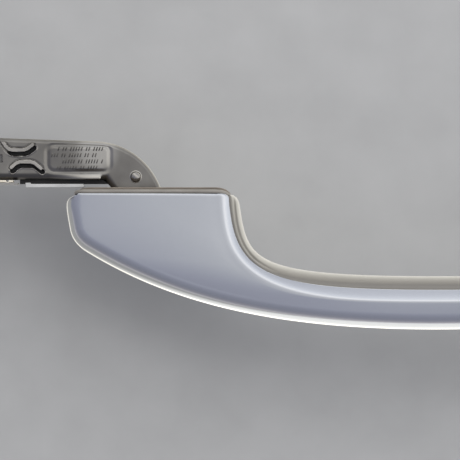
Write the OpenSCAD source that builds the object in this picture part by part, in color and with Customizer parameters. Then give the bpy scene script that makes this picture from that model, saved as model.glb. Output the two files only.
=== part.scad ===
// Bow-type outside door handle: painted grip on a hinge arm, with its door-side hinge bracket and
// the rear carrier whose release lever the handle pulls. X runs from the hinge end to the pull end,
// -Y points out of the door, +Z is up. The bracket and the carrier bear on the inside of the door
// skin, the plane Y = 0. The origin is midway between the two bolts of the hinge bracket.

/* [Grip] */
// Distance from the bracket bolts to the middle of the grip
mid_x = 162; // [158:1:166]
// Reach of the grip from the door skin to its outer face
standoff = 45.4; // [44:0.2:48]
// Depth of the painted shell at the middle of the grip
shell_depth = 12.8; // [12.4:0.1:13.4]
// Bulge of the liner on the finger side at the middle
liner_bulge = 4.2; // [3.8:0.1:4.6]
// Half height of the grip at its middle
grip_half_h = 12; // [11.5:0.1:13]
// Half height of the grip at its feet
foot_half_h = 13.4; // [13:0.1:14]
// Wall of the painted shell
shell_wall = 2.2; // [1.8:0.1:2.4]

/* [Hinge] */
// Distance from the bracket bolts to the hinge pin
hinge_x = 38; // [37:0.5:39]
// Depth of the hinge pin behind the door skin
hinge_y = 8.6; // [8.2:0.1:9]
// Radius of the hinge pin
hinge_pin_r = 2; // [1.8:0.1:2.1]
// Thickness of the arm's pressed steel
arm_t = 1.5; // [1.2:0.1:1.6]

/* [Pull end] */
// Distance from the bracket bolts to the release lever's pin
lever_x = 267; // [266:0.5:268]
// Depth of the release lever's pin behind the door skin
lever_y = 21.3; // [21.1:0.1:21.6]
// Radius of the release lever's pin
lever_pin_r = 2.5; // [2.3:0.1:2.6]

/* [Mounting] */
// Radius of the clearance holes for the mounting bolts
bolt_hole_r = 2.75; // [2.6:0.05:3.3]
// Distance of each bolt from the middle height
bolt_z = 21; // [19:0.5:23]
// Thickness of the door skin between the handle's feet and the mounts
skin_t = 0.8; // [0.7:0.1:1]

/* [Hidden] */
$fn = 48;

/* ---- Outlines of the grip, in plan ----
   [u, v]: u is the distance from the middle of the grip towards either end, v the distance out of
   the door skin. Every outline is given for one half, from the middle (t = 0) to the foot (t = 1). */
end_u = 118.2;        // the end of either foot
base_v = 1.8;         // where the shell starts, above the foot cap and its seal
seam_v = standoff - shell_depth;
outer_bow = [[0, standoff], [47.4, standoff], [82.5, standoff - 6.9], [111.5, 20.8]];
outer_corner = [[111.5, 20.8], [115.2, 18.5], [end_u, 15.5], [end_u, 8]];
outer_end = [[end_u, 8], [end_u, 5], [end_u, 2.4], [end_u - 2.6, base_v]];
seam_line = [[0, seam_v], [54.7, seam_v], [65.2, seam_v - 4.2], [66.3, base_v]];
liner_line = [[0, seam_v - liner_bulge], [63.1, seam_v - liner_bulge], [60.1, 22.7], [63.6, base_v]];
bow_share = 0.72;     // share of t that runs along the bow
corner_share = 0.18;  // share of t that runs round the corner
end_share = 1 - bow_share - corner_share;

function bez(p, t) = pow(1 - t, 3) * p[0] + 3 * pow(1 - t, 2) * t * p[1]
    + 3 * (1 - t) * t * t * p[2] + pow(t, 3) * p[3];
function bez_slope(p, t) = 3 * pow(1 - t, 2) * (p[1] - p[0]) + 6 * (1 - t) * t * (p[2] - p[1])
    + 3 * t * t * (p[3] - p[2]);
function unit(a) = a / norm(a);
function mix(a, b, s) = a + (b - a) * s;
function smooth(s) = s * s * (3 - 2 * s);

function outer(t) = t < bow_share ? bez(outer_bow, t / bow_share)
    : t < bow_share + corner_share ? bez(outer_corner, (t - bow_share) / corner_share)
    : bez(outer_end, (t - bow_share - corner_share) / end_share);
function outer_slope(t) = t < bow_share ? bez_slope(outer_bow, t / bow_share)
    : t < bow_share + corner_share ? bez_slope(outer_corner, (t - bow_share) / corner_share)
    : bez_slope(outer_end, (t - bow_share - corner_share) / end_share);
// Unit vectors from the seam and from the outer line into the shell
function seam_in(t) = let (d = unit(bez_slope(seam_line, t))) [-d[1], d[0]];
function outer_in(t) = let (d = unit(outer_slope(t))) [d[1], -d[0]];
// Half height of the shell, and the height of its edge at the seam
function half_h(t) = mix(grip_half_h, foot_half_h, smooth(t));
function seam_h(t) = half_h(t) - 3.5;

// A point of the grip: its place in plan, its height, and which half it is on (-1 front, 1 rear)
function place(p, z, side) = [mid_x + side * p[0], -(skin_t + p[1]), z];

/* ---- Sweeps from foot to foot ---- */
half_steps = 22;
// The values of t and the side, ring by ring, from the front foot over the middle to the rear foot
rings = [for (i = [-half_steps : half_steps]) [abs(i) / half_steps, i < 0 ? -1 : 1]];

// Skins closed loops that run out and come back with as many points. The first and last loop are
// closed by strips between the two runs.
module skin_loops(loops) {
    n = len(loops[0]);
    rows = len(loops);
    end = (rows - 1) * n;
    sides = [for (r = [0 : rows - 2], i = [0 : n - 1]) let (j = (i + 1) % n)
        [r * n + j, r * n + i, (r + 1) * n + i, (r + 1) * n + j]];
    first = [for (i = [0 : n / 2 - 2]) [i, i + 1, n - 2 - i, n - 1 - i]];
    last = [for (f = first) [end + f[3], end + f[2], end + f[1], end + f[0]]];
    polyhedron(points = [for (loop = loops) each loop], faces = concat(first, sides, last),
        convexity = 8);
}

// Half section of the shell's outer or inner face, from the seam to the outermost line:
// [place in plan, height]. inset is 0 on the outside and the wall on the inside.
bevel_w = 3.4;        // width of the bevel beside the seam
round_w = 9;          // width of the rounding beside the outer face
round_steps = 6;
function shell_half(t, inset) = let (
    a = bez(seam_line, t),
    b = outer(t),
    na = seam_in(t),
    nb = outer_in(t),
    h = half_h(t) - inset,
    zs = seam_h(t) - 0.7 * inset,
    w = bevel_w + 0.2 * inset,
    crest = a + na * w,
    r = min(round_w, norm(b - crest) - 0.4),
    shoulder = b + nb * r
) concat(
    [[a + na * 0.5 * inset, zs]],
    [for (s = [0.5, 0.85]) [a + na * mix(0.5 * inset, w, s), mix(zs, h, 1 - pow(1 - s, 1.35))]],
    [for (s = [0, 0.33, 0.66]) [mix(crest, shoulder, s), h]],
    [for (k = [0 : round_steps]) let (q = 90 * k / round_steps)
        [b + nb * (inset + (r - inset) * (1 - sin(q))), h * cos(q)]]
);

// Closed loop of the shell: up the outside from seam to seam, and back inside
function shell_loop(t, side) = let (
    out = shell_half(t, 0),
    into = shell_half(t, shell_wall),
    n = len(out),
    loop = concat(
        [for (i = [0 : n - 1]) out[i]],
        [for (i = [n - 2 : -1 : 0]) [out[i][0], -out[i][1]]],
        [for (i = [0 : n - 1]) [into[i][0], -into[i][1]]],
        [for (i = [n - 2 : -1 : 0]) into[i]])
) [for (p = loop) place(t < 1 ? p[0] : [p[0][0], base_v], p[1], side)];

module grip_shell() {
    color([0.66, 0.68, 0.74]) skin_loops([for (r = rings) shell_loop(r[0], r[1])]);
}

// Closed loop of the liner: a crescent between the seam and the liner's own line
liner_wall = 1.5;
liner_steps = 8;
function liner_loop(t, side) = let (
    a = bez(seam_line, t),
    bulge = bez(liner_line, t) - a,
    reach = norm(bulge),
    h = seam_h(t) - 0.4,
    into = (reach - liner_wall) / reach,
    outside = [for (k = [liner_steps : -1 : 0]) let (q = 180 * k / liner_steps)
        [a + bulge * sin(q), h * cos(q)]],
    inside = [for (k = [0 : liner_steps]) let (q = 180 * k / liner_steps)
        [a + bulge * into * sin(q), (h - liner_wall) * cos(q)]]
) [for (p = concat(outside, inside)) place(t < 1 ? p[0] : [p[0][0], base_v], p[1], side)];

module grip_liner() {
    color([0.55, 0.52, 0.49]) skin_loops([for (r = rings) liner_loop(r[0], r[1])]);
}

/* ---- Plates and rods ---- */
// A flat shape drawn in X and Y, standing between two heights
module slab(z0, z1) {
    translate([0, 0, z0]) linear_extrude(z1 - z0) children();
}

module box(lo, hi) {
    translate(lo) cube(hi - lo);
}

// A rod along Z between two heights
module rod_z(x, y, z0, z1, r) {
    translate([x, y, z0]) cylinder(h = z1 - z0, r = r);
}

// A rod along Y between two depths
module rod_y(x, z, y0, y1, r) {
    translate([x, y0, z]) rotate([-90, 0, 0]) cylinder(h = y1 - y0, r = r);
}

// A rounded rectangle in X and Z, lying between two depths
module plate_y(x0, x1, z0, z1, y0, y1, r) {
    rotate([90, 0, 0]) translate([0, 0, -y1]) linear_extrude(y1 - y0) union() {
        translate([x0 + r, z0]) square([x1 - x0 - 2 * r, z1 - z0]);
        translate([x0, z0 + r]) square([x1 - x0, z1 - z0 - 2 * r]);
        for (x = [x0 + r, x1 - r], z = [z0 + r, z1 - r]) translate([x, z]) circle(r);
    }
}

// Points of an arc in degrees
function arc(c, r, from, to, n) =
    [for (k = [0 : n]) let (q = mix(from, to, k / n)) c + r * [cos(q), sin(q)]];

// A ribbon of even width along a line of points
function ribbon(p, w) = let (
    n = len(p),
    across = [for (i = [0 : n - 1]) let (
        d = unit(p[min(i + 1, n - 1)] - p[max(i - 1, 0)])) [-d[1], d[0]] * w / 2]
) concat([for (i = [0 : n - 1]) p[i] + across[i]], [for (i = [n - 1 : -1 : 0]) p[i] - across[i]]);

/* ---- Feet ---- */
cap_v = 0.6;          // the cap's door-side face
foot_in = 66.2;       // the foot's two ends in plan, as distances from the middle
foot_out = end_u - 2.4;
screw_u = 76.5;       // the front cover screw
rear_screw_u = 104;   // the rear cover screw
screw_head_r = 3;
screw_head_t = 1.5;
screw_shank_r = 1.5;
screw_tip_v = 13;
arm_foot_x0 = 60.4;   // the arm's root in the front foot
arm_foot_x1 = 75.1;
arm_out_z = 7;        // the outer faces of the arm's two cheeks
arm_in_z = arm_out_z - arm_t;
hook_x = 244;         // the middle of the pull hook's slot
hook_half_z = 3;
leg_x0 = hook_x - 6;
leg_x1 = hook_x + 6;

module foot_plate(side, trim, z, v0, v1) {
    a = mid_x + side * (foot_in + trim);
    b = mid_x + side * (foot_out - trim);
    plate_y(min(a, b), max(a, b), -z, z, -(skin_t + v1), -(skin_t + v0), 4);
}

// The slots through the feet, for the arm in front and the hook's leg at the rear
module arm_slot() {
    box([arm_foot_x0 - 0.4, -5, -arm_out_z - 0.4], [arm_foot_x1 + 0.4, 5, arm_out_z + 0.4]);
}

module leg_slot() {
    box([leg_x0 - 0.3, -5, -hook_half_z - 0.3], [leg_x1 + 0.3, 5, hook_half_z + 0.3]);
}

module front_foot_cap() {
    color([0.5, 0.48, 0.45]) difference() {
        foot_plate(-1, 0, foot_half_h - 0.3, cap_v, base_v);
        arm_slot();
        rod_y(mid_x - screw_u, 0, -5, 5, screw_shank_r);
    }
}

module front_foot_seal() {
    color([0.42, 0.39, 0.36]) difference() {
        foot_plate(-1, 1.4, foot_half_h - 0.8, 0, cap_v);
        arm_slot();
        rod_y(mid_x - screw_u, 0, -5, 5, screw_head_r + 0.4);
    }
}

module rear_foot_cap() {
    color([0.5, 0.48, 0.45]) difference() {
        foot_plate(1, 0, foot_half_h - 0.3, cap_v, base_v);
        leg_slot();
        rod_y(mid_x + rear_screw_u, 0, -5, 5, screw_shank_r);
    }
}

module rear_foot_seal() {
    color([0.42, 0.39, 0.36]) difference() {
        foot_plate(1, 1.4, foot_half_h - 0.8, 0, cap_v);
        leg_slot();
        rod_y(mid_x + rear_screw_u, 0, -5, 5, screw_head_r + 0.4);
    }
}

// Two pan-head screws that hold the caps to the frame; their heads sit in the seals' holes
module cover_screws() {
    color("dimgray") for (x = [mid_x - screw_u, mid_x + rear_screw_u]) difference() {
        union() {
            rod_y(x, 0, -(skin_t + cap_v), -(skin_t + cap_v) + 0.5, screw_head_r);
            rod_y(x, 0, -(skin_t + screw_tip_v), -(skin_t + cap_v), screw_shank_r);
        }
        rod_y(x, 0, -(skin_t + cap_v) - 0.6, 0, 0.9, $fn = 6);
    }
}

/* ---- Inner frame: a moulded core that runs through the grip and carries arm and hook ---- */
frame_half_z = 4.6;   // half thickness of the tongue between the arm's cheeks
block_half_z = 8;
block_v = 14.2;       // how far the foot blocks reach into the shell
fork_gap = 2.8;       // half of the fork's gap round the bracket's ear
rivet_x = 65.9;
rivet_y = 2.6;
rivet_low_y = -9;
rivet_r = 1.1;
dowel_x = [hook_x + 2, hook_x + 11];
dowel_y = -10;
dowel_r = 1.6;
core_out = 3;         // the core bar's two faces, as distances from the seam
core_in = 7.6;
core_half_z = 5.5;

function core_loop(t, side) = let (a = bez(seam_line, t), na = seam_in(t))
    [for (c = [[core_out, 1], [core_in, 1], [core_in, -1], [core_out, -1]])
        place(a + na * c[0], c[1] * core_half_z, side)];

module inner_frame() {
    core_end = 0.91;      // the share of each half that the core bar runs along
    color([0.1, 0.1, 0.11]) difference() {
        union() {
            skin_loops([for (r = rings) if (r[0] <= core_end) core_loop(r[0], r[1])]);
            box([52, -(skin_t + block_v), -block_half_z], [91, -(skin_t + base_v), block_half_z]);
            box([233, -(skin_t + block_v), -block_half_z], [272, -(skin_t + base_v), block_half_z]);
            slab(-frame_half_z, frame_half_z) polygon([
                [28.9, 0.3], [61, 0.3], [61, -3], [71, -3], [70.4, 3], [66, 9], [58, 12], [28.9, 12.2]]);
        }
        // Pockets for the arm's cheeks
        for (s = [-1, 1]) translate([0, 0, s * (arm_in_z + 2.5)])
            box([arm_foot_x0 - 0.3, -20, -2.6], [arm_foot_x1 + 0.4, 0, 2.6]);
        // The fork round the bracket's ear, and the hinge pin's bore
        box([28, -1, -fork_gap], [hinge_x + 5.4, 13, fork_gap]);
        rod_z(hinge_x, hinge_y, -6, 6, hinge_pin_r);
        for (y = [rivet_y, rivet_low_y]) rod_z(rivet_x, y, -10, 10, rivet_r);
        // The hook's root and its dowels
        box([leg_x0 - 0.05, -20, -hook_half_z - 0.05],
            [hook_x + 15.05, 0, hook_half_z + 0.05]);
        for (x = dowel_x) rod_z(x, dowel_y, -10, 10, dowel_r);
        for (x = [mid_x - screw_u, mid_x + rear_screw_u])
            rod_y(x, 0, -(skin_t + screw_tip_v) - 0.5, 0, screw_shank_r);
    }
}

/* ---- Hinge arm: a pressed channel that opens towards the door skin ---- */
arm_end_x = 12;       // the arm's free end
arm_edge_y = 1.6;     // its skin-side edge
bend_r = 2.2;         // outside radius of the bend along that edge
bend_y = arm_edge_y + bend_r;
bend_x1 = 57.5;
nose_r = 22.5;        // the rounded shoulder above the foot
nose_c = [arm_foot_x1 - nose_r, -8.6];
web_y = nose_c[1] + nose_r;
arm_top_y = web_y + 1.3;
rib_h = 0.8;
rib_w = 1.3;
rib_upper = [[22.2, 14.6], [24.8, 11.7], [26, 11.2], [30, 11.2], [31.2, 11.5], [33, 12.9]];
rib_lower = [[26.1, 5.6], [28.3, 7.2], [29.5, 7.5], [32.6, 7.4], [33.8, 6.9], [35.5, 5.2]];
pad_lo = [37.4, 4];   // the raised panel, between two corners
pad_hi = [58, 12.6];
pad_h = 0.5;
window_lo = [16, 7.1];
window_hi = [23.4, 9.6];

module cheek_outline() {
    polygon(concat(
        [[arm_end_x + 2, arm_edge_y], [59, arm_edge_y], [arm_foot_x0, 0], [arm_foot_x0, -13.5],
            [arm_foot_x1, -13.5]],
        arc(nose_c, nose_r, 0, 90, 14),
        [[arm_end_x + 4, arm_top_y], [arm_end_x, arm_top_y - 4], [arm_end_x, arm_edge_y + 2]]));
}

// One cheek between the channel's inside and outside, with its bent edge
module cheek() {
    slab(arm_in_z, arm_out_z) difference() {
        cheek_outline();
        translate([arm_end_x - 1, 0]) square([bend_x1 - arm_end_x + 1, bend_y]);
    }
    translate([arm_end_x, 0, 0]) rotate([90, 0, 90]) linear_extrude(bend_x1 - arm_end_x) polygon(concat(
        arc([bend_y, arm_out_z - bend_r], bend_r, 90, 180, 8),
        arc([bend_y, arm_out_z - bend_r], bend_r - arm_t, 180, 90, 5)));
}

module web() {
    slab(-arm_in_z, arm_in_z) polygon([
        [arm_end_x + 4, arm_top_y], [nose_c[0], web_y],
        [nose_c[0], web_y - arm_t], [arm_end_x + 4, arm_top_y - arm_t]]);
}

// Four rows of plain raised dashes, where a pressed part carries its marking
module dashes() {
    row_gap = 1.85;
    for (row = [0 : 3], k = [0 : 4])
        let (w = 1.4 + 0.8 * ((row * 3 + k * 2) % 3), x = pad_lo[0] + 3.4 + 3.2 * k)
            translate([x, pad_lo[1] + 1.2 + row * row_gap]) square([w, 0.7]);
}

module hinge_arm() {
    color([0.52, 0.5, 0.48]) difference() {
        union() {
            cheek();
            mirror([0, 0, 1]) cheek();
            web();
            slab(arm_out_z, arm_out_z + rib_h) intersection() {
                union() {
                    polygon(ribbon(rib_upper, rib_w));
                    polygon(ribbon(rib_lower, rib_w));
                }
                cheek_outline();
            }
            slab(arm_out_z, arm_out_z + pad_h) translate(pad_lo) square(pad_hi - pad_lo);
            slab(arm_out_z + pad_h, arm_out_z + pad_h + 0.2) dashes();
        }
        slab(-arm_out_z - 1, arm_out_z + 1) translate(window_lo) square(window_hi - window_lo);
        for (y = [rivet_y, rivet_low_y]) rod_z(rivet_x, y, -10, 10, rivet_r);
    }
}

// Domed rivets through cheeks and frame
module arm_rivets() {
    dome_r = 1.75;
    color([0.55, 0.54, 0.52]) for (y = [rivet_y, rivet_low_y]) {
        rod_z(rivet_x, y, -arm_out_z, arm_out_z, rivet_r);
        for (s = [0, 1]) mirror([0, 0, s]) intersection() {
            translate([rivet_x, y, arm_out_z]) sphere(r = dome_r);
            rod_z(rivet_x, y, arm_out_z, arm_out_z + 2, 3);
        }
    }
}

// Pale glide plate under the fork, with a nub beside either prong at its front end
glide_x0 = 30.7;
glide_x1 = 49.3;
glide_half_z = 6.5;
module arm_glide() {
    color([0.85, 0.85, 0.84]) union() {
        difference() {
            box([glide_x0, -0.75, -glide_half_z], [glide_x1, 0.3, glide_half_z]);
            box([glide_x0 - 1, -1, -fork_gap], [hinge_x + 5.4, 1, fork_gap]);
        }
        for (s = [0, 1]) mirror([0, 0, s])
            box([glide_x0, 0.2, frame_half_z], [glide_x0 + 1.7, 0.7, glide_half_z]);
    }
}

module hinge_pin() {
    color("silver") rod_z(hinge_x, hinge_y, -5.3, 5.3, hinge_pin_r);
}

/* ---- Pull hook: a steel leg with an open claw ---- */
rest_angle = 28.8;    // the lever's cross arm at rest, measured from the line towards the hinge
cross_arm = 26.2;     // from the lever's pin to its cross pin
cross_pin_r = 2.5;
cross_x = lever_x - cross_arm * cos(rest_angle);
cross_y = lever_y + cross_arm * sin(rest_angle);
claw_half = 3.3;      // half the width of the claw's slot, which holds the cross pin
claw_y = cross_y;     // the middle of the slot
claw_end = 3.4;       // how far past the hook's middle the slot's round end is centred

module pull_hook() {
    color([0.6, 0.6, 0.61]) difference() {
        slab(-hook_half_z, hook_half_z) difference() {
            union() {
                polygon([[leg_x0, -14], [hook_x + 15, -14], [hook_x + 15, -6], [leg_x1, -3.2],
                    [leg_x1, claw_y - 5], [hook_x + 9, claw_y - 2], [hook_x + 9, claw_y + 4],
                    [hook_x + 5, claw_y + 8], [hook_x - 7, claw_y + 8], [hook_x - 9, claw_y + 6],
                    [hook_x - 9, claw_y - 5], [leg_x0, claw_y - 10]]);
            }
            // The slot opens away from the lever
            translate([hook_x - 10, claw_y - claw_half]) square([10 + claw_end, 2 * claw_half]);
            translate([hook_x + claw_end, claw_y]) circle(claw_half);
        }
        for (x = dowel_x) rod_z(x, dowel_y, -10, 10, dowel_r);
    }
}

module hook_dowels() {
    color("silver") for (x = dowel_x) rod_z(x, dowel_y, -7, 7, dowel_r);
}

/* ---- Door-side hinge bracket ---- */
bush_r = 3;
bush_clear = 0.04;
ear_half_z = 2.5;
ear_r = 4.2;
bracket_x0 = -14;
bracket_x1 = 10.5;
plate_t = 2.5;        // thickness of both mounting plates
ledge_t = 0.7;
ear_reach = 7.5;      // how far both plates reach past their bolts

module hinge_bracket() {
    color([0.45, 0.44, 0.43]) difference() {
        union() {
            plate_y(bracket_x0, bracket_x1, -bolt_z - ear_reach, bolt_z + ear_reach, 0, plate_t, 5);
            box([bracket_x1 - 1, 0, -7], [28.3, ledge_t, 7]);
            slab(-ear_half_z, ear_half_z) union() {
                polygon([[-11, plate_t - 0.1], [-11, 7], [-2, 12.2], [30, 12.2],
                    [hinge_x, hinge_y + ear_r], [hinge_x, hinge_y - ear_r], [26, 4],
                    [8, 3.4], [6, plate_t - 0.1]]);
                translate([hinge_x, hinge_y]) circle(ear_r);
            }
            // Gussets beside the ear
            for (s = [-1, 1]) mirror([0, 0, s > 0 ? 1 : 0]) translate([-8, 0, 0]) rotate([90, 0, 90])
                linear_extrude(3) polygon([[plate_t - 0.1, 2.4], [plate_t - 0.1, 13], [8, 2.4]]);
        }
        rod_z(hinge_x, hinge_y, -6, 6, bush_r);
        for (z = [-bolt_z, bolt_z]) rod_y(0, z, -1, plate_t + 1, bolt_hole_r);
    }
}

module hinge_bush() {
    color([0.72, 0.55, 0.3]) difference() {
        rod_z(hinge_x, hinge_y, -ear_half_z, ear_half_z, bush_r);
        rod_z(hinge_x, hinge_y, -6, 6, hinge_pin_r + bush_clear);
    }
}

// Cream pad on the bracket's ledge, where the arm's edge comes to rest
module arm_rest_pad() {
    color([0.78, 0.74, 0.66]) union() {
        box([13, ledge_t, -7], [24.6, 1.5, 7]);
        box([25.4, ledge_t, -7], [26.8, 1.5, 7]);
        box([24.6, ledge_t, -7], [25.4, 1, 7]);
    }
}

/* ---- Rear carrier, with the release lever's bearing ---- */
carrier_x0 = 228;
carrier_x1 = 292;
carrier_bolt_x = 260;
wall_in_z = 8.5;
wall_out_z = 10.5;
wall_r = 8;
guide_x0 = 232.4;
guide_x1 = 257.4;
guide_z = 6;
lever_bore = lever_pin_r + 0.04;

module carrier_wall() {
    polygon([[lever_x - 11, 2.4], [lever_x + 9, 2.4], [lever_x + wall_r, lever_y],
        [lever_x - wall_r, lever_y]]);
    translate([lever_x, lever_y]) circle(wall_r);
}

module rear_carrier() {
    color([0.14, 0.14, 0.15]) difference() {
        union() {
            plate_y(carrier_x0, carrier_x1, -13, 13, 0, plate_t, 4);
            plate_y(carrier_bolt_x - 9, carrier_bolt_x + 9, -bolt_z - ear_reach, bolt_z + ear_reach,
                0, plate_t, 5);
            for (s = [0, 1]) mirror([0, 0, s]) slab(wall_in_z, wall_out_z) carrier_wall();
            // Ribs that brace the walls
            for (s = [0, 1], x = [lever_x - 10, lever_x + 6]) mirror([0, 0, s])
                translate([x, 0, 0]) rotate([90, 0, 90]) linear_extrude(2)
                    polygon([[2.4, wall_out_z - 0.1], [2.4, 16], [12, wall_out_z - 0.1]]);
        }
        rod_z(lever_x, lever_y, -12, 12, lever_pin_r);
        plate_y(guide_x0, guide_x1, -guide_z, guide_z, -1, 4, 2);
        for (z = [-bolt_z, bolt_z]) rod_y(carrier_bolt_x, z, -1, 4, bolt_hole_r);
    }
}

// Wear frame that lines the carrier's opening
module hook_guide() {
    color([0.82, 0.82, 0.8]) difference() {
        union() {
            plate_y(guide_x0, guide_x1, -guide_z, guide_z, 0, plate_t, 2);
            plate_y(guide_x0 - 1, guide_x1 + 1, -guide_z - 1, guide_z + 1, plate_t, 4, 2);
        }
        plate_y(guide_x0 + 1.6, guide_x1 - 1.6, -guide_z + 2.2, guide_z - 2.2, -1, 5, 1);
    }
}

module lever_pin() {
    color("silver") union() {
        rod_z(lever_x, lever_y, -13, wall_out_z, lever_pin_r);
        rod_z(lever_x, lever_y, wall_out_z, wall_out_z + 2, 4);
    }
}

// Spring clip in the pin's tail
module lever_pin_clip() {
    color([0.35, 0.35, 0.36]) difference() {
        rod_z(lever_x, lever_y, -12, -11.2, 5);
        rod_z(lever_x, lever_y, -13, -10, lever_pin_r);
        box([lever_x - 1.6, lever_y, -13], [lever_x + 1.6, lever_y + 6, -10]);
    }
}

// Torsion spring round the lever's hub: five turns, a leg down to the carrier's floor and a leg
// towards the lever's rod arm
spring_in = 5.4;
wire_r = 0.6;
turns = 5;
coil_pitch = 1.15;
leg_r = 0.5;          // the legs are drawn thinner than the coil's wire, so that they meet it cleanly
module lever_spring() {
    coil_r = spring_in + wire_r;
    end_z = (turns - 1) / 2 * coil_pitch;
    color([0.3, 0.3, 0.32]) union() {
        translate([lever_x, lever_y, 0]) rotate_extrude() union() {
            for (k = [0 : turns - 1]) translate([coil_r, k * coil_pitch - end_z])
                circle(wire_r);
        }
        rod_y(lever_x + coil_r, -end_z, plate_t, lever_y, leg_r);
        rod_y(lever_x - coil_r, end_z, lever_y, lever_y + 9, leg_r);
    }
}

// Rubber stop that the counterweight rests on
weight_arm = 18;
weight_r = 5.5;
weight_x = lever_x + weight_arm * cos(rest_angle);
weight_y = lever_y - weight_arm * sin(rest_angle);
module stop_buffer() {
    color([0.08, 0.08, 0.08])
        rod_y(weight_x, 0, plate_t, weight_y - weight_r - 0.2, 4);
}

/* ---- Release lever ---- */
lever_in_z = 3.8;
lever_out_z = 5.8;
hub_r = 5;
hub_half_z = 8.3;
rod_arm = 16;
rod_angle = 60;
rod_hole_r = 2.6;
rod_x = lever_x + rod_arm * cos(rod_angle);
rod_y0 = lever_y + rod_arm * sin(rod_angle);

// A tapered arm from the hub to an eye
module lever_arm(x, y, r) {
    d = unit([x - lever_x, y - lever_y]);
    n = [-d[1], d[0]];
    hub = [lever_x, lever_y];
    eye = [x, y];
    polygon([hub + n * hub_r, eye + n * r, eye - n * r, hub - n * hub_r]);
    translate(eye) circle(r);
}

module lever_plate() {
    lever_arm(cross_x, cross_y, 4);
    lever_arm(weight_x, weight_y, 4);
    translate([lever_x, lever_y]) circle(hub_r + 1.5);
}

module release_lever() {
    color([0.17, 0.17, 0.18]) difference() {
        union() {
            for (s = [0, 1]) mirror([0, 0, s]) slab(lever_in_z, lever_out_z) lever_plate();
            slab(lever_in_z, lever_out_z) lever_arm(rod_x, rod_y0, 4.6);
            rod_z(lever_x, lever_y, -hub_half_z, hub_half_z, hub_r);
        }
        rod_z(lever_x, lever_y, -10, 10, lever_bore);
        rod_z(cross_x, cross_y, -10, 10, cross_pin_r);
        rod_z(weight_x, weight_y, -10, 10, 2);
        rod_z(rod_x, rod_y0, 0, 10, rod_hole_r);
    }
}

module lever_cross_pin() {
    color("silver") union() {
        rod_z(cross_x, cross_y, -6.6, 6.6, cross_pin_r);
        for (s = [0, 1]) mirror([0, 0, s]) rod_z(cross_x, cross_y, lever_out_z, 6.8, 3.2);
    }
}

// Two cast discs on a pin, one outside each cheek, that hold the lever still in a crash
module counterweight() {
    color([0.5, 0.5, 0.5]) union() {
        rod_z(weight_x, weight_y, -8, 8, 2);
        for (s = [0, 1]) mirror([0, 0, s]) rod_z(weight_x, weight_y, lever_out_z, 8, weight_r);
        rod_z(weight_x, weight_y, -lever_in_z, lever_in_z, weight_r);
    }
}

// Snap clip in the lever's eye, bored for the release rod
rod_bore_r = 1.75;
module rod_clip() {
    color([0.8, 0.78, 0.7]) difference() {
        union() {
            rod_z(rod_x, rod_y0, 2.9, 7.6, rod_hole_r);
            rod_z(rod_x, rod_y0, lever_out_z, 7.6, 4);
            rod_z(rod_x, rod_y0, 2.9, lever_in_z, 3.1);
        }
        rod_z(rod_x, rod_y0, 0, 10, rod_bore_r);
    }
}

grip_shell();
grip_liner();
inner_frame();
front_foot_cap();
front_foot_seal();
rear_foot_cap();
rear_foot_seal();
cover_screws();
hinge_arm();
arm_rivets();
arm_glide();
hinge_pin();
pull_hook();
hook_dowels();
hinge_bracket();
hinge_bush();
arm_rest_pad();
rear_carrier();
hook_guide();
lever_pin();
lever_pin_clip();
lever_spring();
stop_buffer();
release_lever();
lever_cross_pin();
counterweight();
rod_clip();
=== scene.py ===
"""Looks of a bow-type car door handle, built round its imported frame.

Shapes are worked out in millimetres and put into the meshes in metres. X runs from the hinge end to
the pull end, -Y points out of the door and +Z is up.
"""

import math

import bmesh
import bpy
import numpy as np
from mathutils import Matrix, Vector


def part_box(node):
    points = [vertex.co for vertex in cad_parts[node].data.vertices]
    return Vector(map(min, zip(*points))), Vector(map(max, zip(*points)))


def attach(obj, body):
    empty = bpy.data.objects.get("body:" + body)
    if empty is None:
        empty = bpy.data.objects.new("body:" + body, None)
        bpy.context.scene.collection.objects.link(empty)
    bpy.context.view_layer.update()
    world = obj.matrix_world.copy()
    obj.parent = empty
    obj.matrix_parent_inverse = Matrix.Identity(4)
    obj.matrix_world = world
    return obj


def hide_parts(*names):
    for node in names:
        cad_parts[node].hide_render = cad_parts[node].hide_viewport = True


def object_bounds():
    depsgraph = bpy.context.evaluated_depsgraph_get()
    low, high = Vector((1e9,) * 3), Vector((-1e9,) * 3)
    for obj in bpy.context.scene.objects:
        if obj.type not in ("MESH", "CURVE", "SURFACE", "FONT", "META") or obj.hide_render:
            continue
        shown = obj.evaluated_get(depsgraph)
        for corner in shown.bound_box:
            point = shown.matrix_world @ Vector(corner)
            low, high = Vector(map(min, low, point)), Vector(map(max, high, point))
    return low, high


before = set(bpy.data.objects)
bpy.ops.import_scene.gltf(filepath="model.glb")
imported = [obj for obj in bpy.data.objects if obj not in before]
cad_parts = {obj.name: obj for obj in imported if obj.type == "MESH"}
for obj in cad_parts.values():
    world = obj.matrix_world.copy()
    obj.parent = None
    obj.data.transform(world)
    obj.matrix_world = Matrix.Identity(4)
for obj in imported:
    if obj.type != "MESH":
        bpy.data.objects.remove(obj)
cad_low, cad_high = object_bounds()

MM = 0.001


def box_mm(node):
    """Lowest and highest corner of a frame node, in millimetres."""
    low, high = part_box(node)
    return np.array(low) / MM, np.array(high) / MM


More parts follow.
